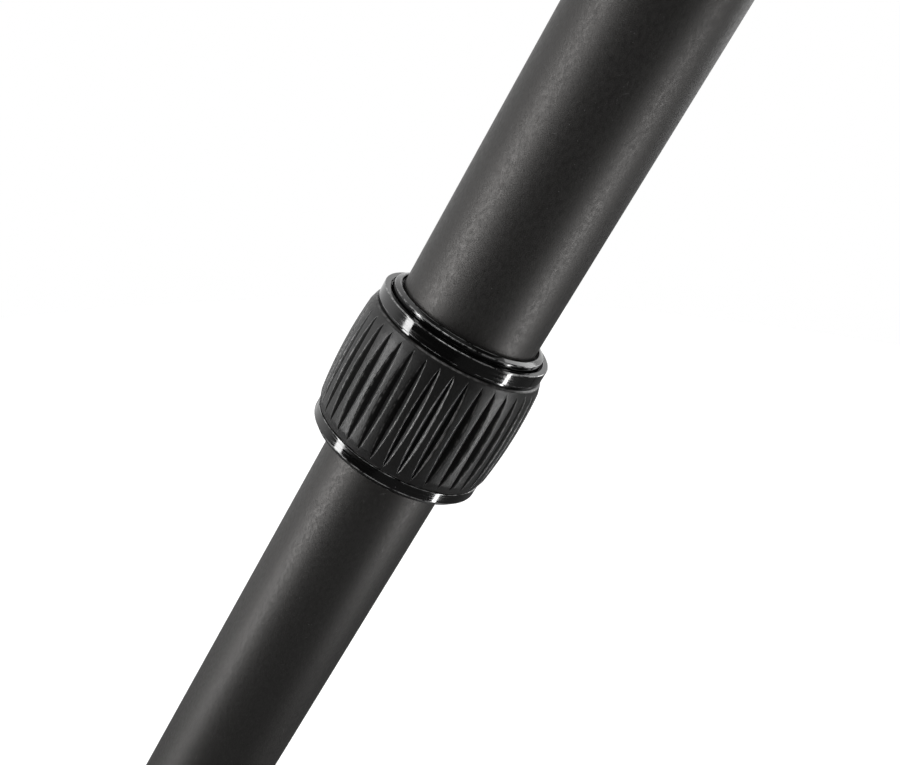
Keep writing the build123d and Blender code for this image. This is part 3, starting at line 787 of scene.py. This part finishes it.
def addGrip(prefix, place, threadR, length):
    top, bottom = -(lock["band"] + lock["groove"]), lock["flange"] - length
    points, middle, half = gripOutline(threadR, top, bottom)
    slope = math.tan(math.radians(grip["halfAngle"]))
    root = threadR + grip["widest"] - grip["depth"]
    tip = threadR + grip["corner"] - grip["tipDepth"]

    def fluteAt(radius, height):        # the cutter's path is an arc, which runs out just past the corners
        share = (height - middle) / half
        depth = max(radius - root - (tip - root) * share * share, 0.0)
        return depth * slope + grip["overWidth"], depth

    name = f"{prefix}_grip_fluted"
    count = round(2 * math.pi * (threadR + grip["widest"]) / grip["pitch"])
    addPiece(name, flutedMesh(name, points, count, fluteAt, gripRubber), place, gripRubber, prefix, "grip_rubber",
             f"{prefix}_grip", sharpFrom=50.0)


def addLock(prefix, place, innerNode):
    flangeR, low, top = reach(f"{prefix}_ring", place)
    here = shifted(place, z=top)
    threadR = flangeR - lock["flangeProud"]
    addRing(prefix, here, threadR, widest(innerNode, place), top - low)
    addGrip(prefix, here, threadR, top - low)
    return here


for leg in legs:
    place = legPlace(leg)
    for number, outer, inner, carrier in ((1, "upper", "middle", f"leg{leg}"),
                                          (2, "middle", "lower", f"leg{leg}_middle")):
        prefix = f"leg{leg}_lock{number}"
        outerNode, innerNode = f"leg{leg}_{outer}_tube", f"leg{leg}_{inner}_tube"
        here = addLock(prefix, place, innerNode)
        addSleeve(prefix, here, widest(outerNode, place), widest(innerNode, place), carrier)
        keepNode(f"{prefix}_bush", acetal)
    keepNode(f"leg{leg}_middle_guide", guidePlastic)
    keepNode(f"leg{leg}_lower_guide", guidePlastic)
addLock("column_lock", upsideDown, "column_tube")
keepNode("column_bush", acetal)
print("twist locks made")


# Castings: the CAD shape with its edges run soft, as a die and powder coat leave them

def addCasting(name, node, place, voxel, body):
    thing = linked("casting", nodeMesh(node, place))
    remesh = thing.modifiers.new("remesh", "REMESH")
    remesh.mode = "VOXEL"
    remesh.voxel_size = voxel
    smooth = thing.modifiers.new("run soft", "SMOOTH")
    smooth.factor = 0.5
    smooth.iterations = 4
    addPiece(name, frozen(thing), place, casting, body, "casting", node, sharpFrom=80.0)


addCasting("apex_cast", "apex_casting", columnPlace, 0.56, "apex")
for leg in legs:
    addCasting(f"leg{leg}_shoulder_cast", f"leg{leg}_shoulder", legPlace(leg), 0.5, f"leg{leg}")
print("castings made")


# Leg hinges: bolts and angle latches

def boltMesh():
    settings = {"shank": 4.0, "head": 6.5, "headHeight": 2.5, "half": 15.1, "rounding": 0.6, "socket": 5.0,
                "socketDepth": 1.6}
    half, under = settings["half"], settings["half"] - settings["headHeight"]
    corners = [(0, half, 0), (settings["head"], half, settings["rounding"]), (settings["head"], under, 0.1),
               (settings["shank"], under, 0), (settings["shank"], -under, 0), (settings["head"], -under, 0.1),
               (settings["head"], -half, settings["rounding"]), (0, -half, 0)]
    bolt = turnedMesh("bolt", softened(corners), segments=64, closed=False)
    across = settings["socket"] / 2 / math.cos(math.pi / 6)
    return carved(bolt, prism("socket", 6, across, half + 1, half - settings["socketDepth"]),
                  prism("socket", 6, across, settings["socketDepth"] - half, -half - 1))


def addBolts():         # three alike, drawn at leg 3 and turned round the column
    hinge = columnPlace.inverted() @ legPlace(3)
    bolt = boltMesh()
    bolt.transform(Matrix.Translation(hinge.translation) @ hinge.to_3x3().normalized().to_4x4()
                   @ Matrix.Rotation(math.pi / 2, 4, "X"))
    addPiece("leg_pivot_bolts_turned", repeated(bolt, blackSteel, len(legs)), columnPlace, blackSteel, "apex",
             "steel", "leg_pivot_bolts")


def addLatch(leg):      # the CAD shape with rounded edges, and ribs across the end of its tab
    settings = {"rounding": 0.45, "ribs": 5, "ribR": 0.5, "ribProud": 0.3, "ribInset": 0.6, "ribSpread": 0.7,
                "tabEnd": 0.5}
    node = f"leg{leg}_angle_latch"
    place = legPlace(leg)
    thing = linked("latch", nodeMesh(node, place, flatWithin=1.0))
    bevel = thing.modifiers.new("soft edges", "BEVEL")
    bevel.width = settings["rounding"]
    bevel.segments = 3
    bevel.limit_method = "ANGLE"
    body = frozen(thing)
    points = [vertex.co for vertex in body.vertices]
    front = max(point.x for point in points)
    tab = [point for point in points if point.x > front - settings["tabEnd"]]
    low, high = min(point.z for point in tab), max(point.z for point in tab)
    spread = max(point.y for point in tab) * settings["ribSpread"]
    rib = prism("rib", 12, settings["ribR"], high - low - 2 * settings["ribInset"], 0.0)
    rib.transform(Matrix.Translation((front + settings["ribProud"] - settings["ribR"], -spread,
                                      low + settings["ribInset"])))
    ribs = repeated(rib, latchMetal, settings["ribs"], step=(0.0, 2 * spread / (settings["ribs"] - 1), 0.0))
    addPiece(f"{node}_blasted", joined(node, body, ribs), place, latchMetal, f"leg{leg}_latch", "latch_metal", node)


addBolts()
for leg in legs:
    addLatch(leg)
print("hinges made")


# Feet: a rubber bulb with grooves round its flank and lugs on its sole

def addFoot(leg):
    settings = {"flank": 16.0, "ball": 15.5, "ballSteps": 30, "top": 12.4, "grooves": 3, "groove": 0.8,
                "grooveSteps": 8, "lip": 0.35, "lugs": 18, "lugDepth": 0.9, "lugWidth": 1.0, "lugFrom": 22.0,
                "lugTo": 74.0, "lugFade": 6.0, "stem": 16.0, "chamfer": 0.5}
    node = f"leg{leg}_foot"
    place = legPlace(leg)
    tubeR, tubeEnd = reach(f"leg{leg}_lower_tube", place)[:2]
    stem, stemTop, flank, ball = tubeR - tubeWall, settings["stem"], settings["flank"], settings["ball"]
    points = [(0, stemTop, 0), (stem - settings["chamfer"], stemTop, 0), (stem, stemTop - settings["chamfer"], 0),
              (stem, 0, 0)]
    points += softened([(stem, 0, 0), (settings["top"], 0, 0.5), (ball, -flank, 0)])[1:-1]

    def flankR(z):
        return settings["top"] - (ball - settings["top"]) * z / flank

    groove, steps = settings["groove"], settings["grooveSteps"]
    beside = groove + settings["lip"]       # points here keep the wear to the groove's own edges
    for i in range(1, settings["grooves"] + 1):
        z = -flank * i / (settings["grooves"] + 1)
        points.append((flankR(z + beside), z + beside, 0.0))
        for k in range(steps + 1):
            angle = math.pi * k / steps
            height = z + groove * math.cos(angle)
            points.append((flankR(height) - groove * math.sin(angle), height, 1.0 if k in (0, steps) else 0.0))
        points.append((flankR(z - beside), z - beside, 0.0))
    for k in range(settings["ballSteps"] + 1):
        angle = math.radians(90 * k / settings["ballSteps"])
        points.append((ball * math.cos(angle), -flank - ball * math.sin(angle), 0.0))

    def lugAt(r, z):
        tilt = math.degrees(math.atan2(-flank - z, r)) if z < -flank else 0.0
        if settings["lugFrom"] < tilt < settings["lugTo"]:
            share = min(min(tilt - settings["lugFrom"], settings["lugTo"] - tilt) / settings["lugFade"], 1.0)
            return settings["lugWidth"] * share, settings["lugDepth"] * share
        return 0.0, 0.0

    mesh = flutedMesh(node, points, settings["lugs"], lugAt, footRubber, closed=False)
    addPiece(f"{node}_moulded", mesh, shifted(place, z=tubeEnd), footRubber, f"leg{leg}_lower", "foot_rubber", node,
             sharpFrom=60.0)


for leg in legs:
    addFoot(leg)
print("feet made")


# Centre column, with the groove that keeps it from turning

def addColumn():
    settings = {"grooveWidth": 3.0, "grooveDepth": 0.5, "segments": 120, "lip": 0.2}
    radius, low, high = reach("column_tube", columnPlace)
    floor, lip = radius - settings["grooveDepth"], settings["lip"]
    halfGroove = math.asin(settings["grooveWidth"] / 2 / radius)
    arc = 2 * (math.pi - halfGroove)
    section = [(floor, -halfGroove), (floor, 0.0), (floor, halfGroove), (radius, halfGroove)]
    section += [(radius, halfGroove + arc * k / settings["segments"]) for k in range(1, settings["segments"] + 1)]
    bore = [(radius - columnWall, angle) for r, angle in section]
    bm = bmesh.new()
    along = bm.loops.layers.uv.new("along")
    levels = [(section, 0, high - lip), (section, lip, high), (bore, 0, high), (bore, 0, low), (section, lip, low),
              (section, 0, low + lip)]
    loops = [[bm.verts.new(polar(r - inset, angle, z)) for r, angle in outline] for outline, inset, z in levels]
    bridge(bm, loops + loops[:1])
    halfway = math.pi * radius
    for face in bm.faces:
        for loop in face.loops:
            point = loop.vert.co
            loop[along].uv = ((math.atan2(point.y, point.x) + math.pi) * radius, point.z)
        turns = [loop[along].uv.x for loop in face.loops]
        if max(turns) - min(turns) > halfway:       # the strip that crosses the seam keeps its own side
            for loop in face.loops:
                if loop[along].uv.x < halfway:
                    loop[along].uv.x += 2 * halfway
    addPiece("column_tube_carbon", facedMesh("column", bm), columnPlace, carbon, "column", "carbon_tube",
             "column_tube")


addColumn()


# Head platform: a turned plate with ridges, a knurled rim and three holes, and its threaded stud

plate = {
    "thickness": 8.0, "collar": 18.0, "collarDrop": 8.0, "plug": 22.0, "fit": 0.01, "edge": 1.2, "knurls": 90,
    "knurlDepth": 0.45, "knurlWidth": 0.55, "rimBand": 0.3, "ridges": 9, "ridgeDepth": 0.25, "ridgePitch": 1.9,
    "ridgeFrom": 9.5, "screws": 3, "screwCircle": 23.0, "screwR": 2.0, "studDepth": 18.0, "studRoot": 5.5,
}
# Half widths of a ridge's groove: plain face beside it, its rubbed edge and its floor
ridgeHalf = {"beside": 0.5, "edge": 0.35, "floor": 0.18}


def addPlate():
    rim, columnR = widest("top_plate", columnPlace), widest("column_tube", columnPlace)
    under, collar, edge, depth = -plate["thickness"], plate["collar"], plate["edge"], -plate["ridgeDepth"]
    collarEnd, plugEnd = under - plate["collarDrop"], under - plate["plug"]
    points = [(plate["studRoot"], 0.0, 0.0)]
    for i in range(plate["ridges"]):
        r = plate["ridgeFrom"] + i * plate["ridgePitch"]
        left = [(r - ridgeHalf["beside"], 0.0, 0.0), (r - ridgeHalf["edge"], 0.0, 1.0),
                (r - ridgeHalf["floor"], depth, 0.0)]
        points += left + [(2 * r - radius, height, worn) for radius, height, worn in reversed(left)]
    points += softened([(0, 0, 0), (rim - edge, 0, 0.25), (rim, -edge, 0.25), (rim, under / 2, 0.4),
                        (collar + edge, under, 0.3), (collar, under - edge, 0.3), (collar, collarEnd, 0.3),
                        (columnR, 0, 0)])[1:-1]
    points += [(columnR + plate["fit"], collarEnd, 0.0), (columnR + plate["fit"], under, 0.0),
               (columnR - columnWall, under, 0.0), (columnR - columnWall, plugEnd, 0.0), (0.0, plugEnd, 0.0),
               (0.0, -plate["studDepth"], 0.0), (plate["studRoot"], -plate["studDepth"], 0.0)]

    def knurlAt(radius, height):
        if radius > rim - plate["rimBand"] and under / 2 < height < -edge:
            return plate["knurlWidth"], plate["knurlDepth"]
        return 0.0, 0.0

    holes = []
    for i in range(plate["screws"]):
        hole = prism("hole", 48, plate["screwR"], top=1.0, bottom=2 * under)
        hole.transform(Matrix.Translation(polar(plate["screwCircle"], 2 * math.pi * i / plate["screws"], 0)))
        holes.append(hole)
    mesh = carved(flutedMesh("plate", points, plate["knurls"], knurlAt, machined, knurlSection), *holes)
    addPiece("top_plate_turned", mesh, columnPlace, machined, "column", "machined_plate", "top_plate")


def addStud():
    settings = {"crest": 4.7625, "pitch": 1.5875, "threadDepth": 0.62, "flat": 0.12, "rowsPerPitch": 12,
                "segments": 72, "tip": 1.0, "runOut": 1.0, "wornCrest": 0.05}
    rootR, low, high = reach("head_stud", columnPlace)
    crest, tip, segments = settings["crest"], settings["tip"], settings["segments"]
    turns = [2 * math.pi * s / segments for s in range(segments)]
    bm = bmesh.new()
    edgeLayer = bm.verts.layers.float.new("edge")
    rows = int(high / settings["pitch"] * settings["rowsPerPitch"])
    rings = []
    for i in range(rows + 1):
        z = high * i / rows
        ring = []
        for s, angle in enumerate(turns):
            phase = (z / settings["pitch"] - s / segments) % 1.0
            valley = (1 - abs(2 * phase - 1) - settings["flat"]) / (1 - 2 * settings["flat"])
            valley = min(max(valley, 0.0), 1.0)
            cut = settings["threadDepth"] * valley * min(z / settings["runOut"], 1.0)
            r = min(crest - cut, crest - tip * (1 - min((high - z) / tip, 1.0)))
            vertex = bm.verts.new(polar(r, angle, z))
            vertex[edgeLayer] = 1.0 if valley < settings["wornCrest"] else 0.0
            ring.append(vertex)
        rings.append(ring)
    root = [[bm.verts.new(polar(rootR, angle, z)) for angle in turns] for z in (low, 0.0)]
    stack = root + rings
    bridge(bm, stack)
    bm.faces.new(stack[0])
    bm.faces.new(stack[-1])
    addPiece("head_stud_threaded", facedMesh("stud", bm), columnPlace, steel, "column", "steel", "head_stud")


addPlate()
addStud()
keepNode("plate_screws", blackSteel)
print("column and head platform made")


# Bubble level: green liquid under a clear dome, with a ring to read the bubble by

def addLevel():
    settings = {"depth": 5.0, "floor": 1.2, "lip": 0.35, "rim": 0.9, "dome": 1.2, "domeIn": 0.995, "domeSteps": 12,
                "glassUnder": -0.3, "glassPlay": 0.02, "liquidTop": -0.9, "liquidPlay": 0.05, "bubble": 1.7,
                "bubbleAt": -0.6, "bubbleHalf": 0.24, "bubbleOff": (0.35, 0.2), "circle": 2.3, "circleAt": -0.62,
                "line": 0.16}
    lowest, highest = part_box("bubble_level")
    centre = (lowest + highest) / 2
    radius = (highest.y - lowest.y) / 2 / mm
    here = shifted(columnPlace, centre.x / mm, centre.y / mm, highest.z / mm - settings["dome"])
    bore, under, lip = radius - settings["rim"], -settings["depth"], settings["lip"]
    floor = under + settings["floor"]
    cup = [(0, under, 0), (radius, under, 0.2), (radius, lip, 0.15), (bore, lip, 0.12), (bore, floor, 0),
           (0, floor, 0)]
    addTurned("bubble_level_cup", cup, here, machined, "apex", "machined_plate", "bubble_level", closed=False)

    play = settings["liquidPlay"]
    liquid = [(0, floor + play, 0), (bore - play, floor + play, 0), (bore - play, settings["liquidTop"], 0),
              (0, settings["liquidTop"], 0)]
    addTurned("bubble_level_liquid", liquid, here, levelGreen, "apex", "level_vial", segments=64, closed=False)

    rise = settings["dome"] - lip
    domeR = (bore ** 2 + rise ** 2) / (2 * rise)
    arc = math.asin(bore * settings["domeIn"] / domeR)
    glass = []
    for k in range(settings["domeSteps"] + 1):
        angle = arc * k / settings["domeSteps"]
        glass.append((domeR * math.sin(angle), settings["dome"] - domeR * (1 - math.cos(angle)), 0))
    glass += [(bore - settings["glassPlay"], settings["glassUnder"], 0), (0, settings["glassUnder"], 0)]
    addTurned("bubble_level_dome", glass, here, levelGlass, "apex", "level_vial", closed=False)

    blob = [(settings["bubble"] * math.sin(math.pi * k / 10),
             settings["bubbleAt"] + settings["bubbleHalf"] * math.cos(math.pi * k / 10), 0) for k in range(11)]
    addTurned("bubble_level_bubble", blob, shifted(here, *settings["bubbleOff"]), levelBubble, "apex", "level_vial",
              segments=40, closed=False)
    wire = [(settings["circle"] + settings["line"] * math.cos(2 * math.pi * k / 8),
             settings["circleAt"] + settings["line"] * math.sin(2 * math.pi * k / 8), 0) for k in range(8)]
    addTurned("bubble_level_circle", wire, here, capPlastic, "apex", "cap_plastic", segments=64)


addLevel()


# Column's end cap and its ballast hook

def addCap():
    settings = {"plug": 14.0, "chamfer": 1.5, "bore": 2.25, "boreWidth": 0.6, "notchWidth": 0.8, "notchDepth": 0.5,
                "notches": 24, "rimBand": 0.3}
    radius, low, high = reach("column_end_cap", columnPlace)
    plugR = widest("column_tube", columnPlace) - columnWall
    bottom, chamfer, bore = high - settings["plug"], settings["chamfer"], settings["bore"]
    points = softened([(bore, high, 0), (plugR, high, 0.4), (plugR, bottom, 0), (radius, bottom, 0.25),
                       (radius, low + chamfer, 0.4), (radius - chamfer, low, 0.4),
                       (bore + settings["boreWidth"], low, 0.2), (bore, low + settings["boreWidth"], 0.2)])

    def notchAt(r, z):
        if r > radius - settings["rimBand"] and low + chamfer < z < bottom - settings["rimBand"]:
            return settings["notchWidth"], settings["notchDepth"]
        return 0.0, 0.0

    addPiece("column_end_cap_moulded", flutedMesh("cap", points, settings["notches"], notchAt, capPlastic),
             columnPlace, capPlastic, "column", "cap_plastic", "column_end_cap")


addCap()
keepNode("ballast_hook", steel)
print("level, cap and hook made")


# Camera, as the photograph was taken: 209 mm from the lock, pitched down and slightly rolled

shot = {"lens": 44.68, "nearest": 0.01, "pitch": 22.08, "roll": -4.87, "lockInView": (3.37, -11.21, 209.05)}
pitch, roll = math.radians(shot["pitch"]), math.radians(shot["roll"])
ahead = Vector((0, math.cos(pitch), -math.sin(pitch)))
levelRight = Vector((1, 0, 0))
levelDown = Vector((0, -math.sin(pitch), -math.cos(pitch)))
right = levelRight * math.cos(roll) + levelDown * math.sin(roll)
down = levelDown * math.cos(roll) - levelRight * math.sin(roll)
heroLeg = legPlace(1)
lockTop = shifted(heroLeg, z=reach("leg1_lock1_ring", heroLeg)[2]).translation
across, below, away = shot["lockInView"]
eye = lockTop - (right * across + down * below + ahead * away) * mm


def aimed(name, data, origin, x, y, z):     # an object at a place, with its own axes along the given ones
    thing = linked(name, data)
    thing.matrix_world = Matrix((x, y, z)).transposed().to_4x4()
    thing.matrix_world.translation = origin
    return thing


cameraData = bpy.data.cameras.new("camera")
cameraData.lens = shot["lens"]
cameraData.clip_start = shot["nearest"]
bpy.context.scene.camera = aimed("camera", cameraData, eye, right, -down, -ahead)


# Studio: a pale floor, a white surround for the camera, strip lights along leg 1 and soft fill

studio = {
    "floorR": 1.35, "floorTone": 0.70, "floorGlow": 0.60, "floorMirrored": 0.12, "floorRough": 0.9,
    "floorShine": 0.1, "ambient": 0.42, "frontDark": 0.01, "darkTo": (-0.1, 0.5),
    "brightSide": (-0.22, 1.0, 0.0),
    "strips": {"leftStrip": {"towards": (-0.955, -0.013, -0.296), "distance": 0.62, "up": 0.20,
                             "size": (0.10, 0.75), "power": 2.4},
               "rightStrip": {"towards": (0.604, 0.796, -0.035), "distance": 0.30, "up": 0.075,
                              "size": (0.024, 0.26), "power": 0.62}},
    "panels": {"topSoft": {"place": (0.4, -0.5, 1.3), "size": (1.2, 1.2), "power": 13.0, "upwards": (0, 1, 0)},
               "leftSoft": {"place": (-1.65, -0.42, -0.45), "size": (0.30, 1.7), "power": 15.0,
                            "upwards": (0, 0, 1)},
               "rightSoft": {"place": (1.3, 1.1, -0.3), "size": (0.9, 1.8), "power": 15.0, "upwards": (0, 0, 1)}},
    "aim": (0, 0, -0.5),
}


def addFloor():
    bm = bmesh.new()
    bmesh.ops.create_circle(bm, cap_ends=True, segments=128, radius=studio["floorR"])
    bmesh.ops.translate(bm, verts=bm.verts, vec=(0, 0, cadBox[0].z))
    mesh = plainMesh("floor", bm)
    look = bpy.data.materials.new("pale floor")
    look.use_nodes = True
    tree = look.node_tree
    shader = tree.nodes["Principled BSDF"]
    path = put(tree, "ShaderNodeLightPath").outputs
    tone = tint(tree, path["Is Glossy Ray"], grey(studio["floorTone"]), grey(studio["floorMirrored"]))
    glow = calc(tree, "MULTIPLY", path["Is Camera Ray"], studio["floorGlow"])
    shader.inputs["Roughness"].default_value = studio["floorRough"]
    shader.inputs["Specular IOR Level"].default_value = studio["floorShine"]
    shader.inputs["Emission Color"].default_value = grey(1.0)
    dress(tree, shader, Base_Color=tone, Emission_Strength=glow)
    oneLook(mesh, look)
    linked("floor", mesh)


def addWorld():         # white to the camera, a room with one bright side to reflections, and an even fill
    world = bpy.data.worlds.new("studio")
    world.use_nodes = True
    bpy.context.scene.world = world
    tree = world.node_tree
    path = put(tree, "ShaderNodeLightPath").outputs
    way = put(tree, "ShaderNodeTexCoord").outputs["Generated"]
    depth = put(tree, "ShaderNodeVectorMath", operation="DOT_PRODUCT",
                sockets={0: way, 1: studio["brightSide"]}).outputs["Value"]
    room = ramp(tree, depth, *studio["darkTo"], studio["frontDark"], 1.0)
    seen = calc(tree, "ADD", path["Is Camera Ray"], path["Is Transmission Ray"], clamp=True)
    soft = put(tree, "ShaderNodeMix", data_type="FLOAT",
               sockets={0: path["Is Glossy Ray"], 2: studio["ambient"], 3: room}).outputs[0]
    strength = put(tree, "ShaderNodeMix", data_type="FLOAT", sockets={0: seen, 2: soft, 3: 1.0}).outputs[0]
    sky = tree.nodes["Background"]
    sky.inputs["Color"].default_value = grey(1.0)
    tree.links.new(strength, sky.inputs["Strength"])


def addLamp(name, origin, facing, along, size, power):
    data = bpy.data.lights.new(name, "AREA")
    data.shape = "RECTANGLE"
    data.size, data.size_y = size
    data.energy = power
    z = -facing.normalized()
    y = (along - z * along.dot(z)).normalized()
    lamp = aimed(name, data, origin, y.cross(z), y, z)
    lamp.visible_camera = False


addFloor()
addWorld()
legDown = -Vector(heroLeg.col[2][:3]).normalized()
for name, strip in studio["strips"].items():
    x, y, z = strip["towards"]
    direction = (right * x + down * y + ahead * z).normalized()
    addLamp(name, lockTop + direction * strip["distance"] - legDown * strip["up"], -direction, legDown,
            strip["size"], strip["power"])
for name, panel in studio["panels"].items():
    origin = Vector(panel["place"])
    addLamp(name, origin, Vector(studio["aim"]) - origin, Vector(panel["upwards"]), panel["size"], panel["power"])
bpy.context.scene.view_settings.view_transform = "Standard"
print("camera and studio made")
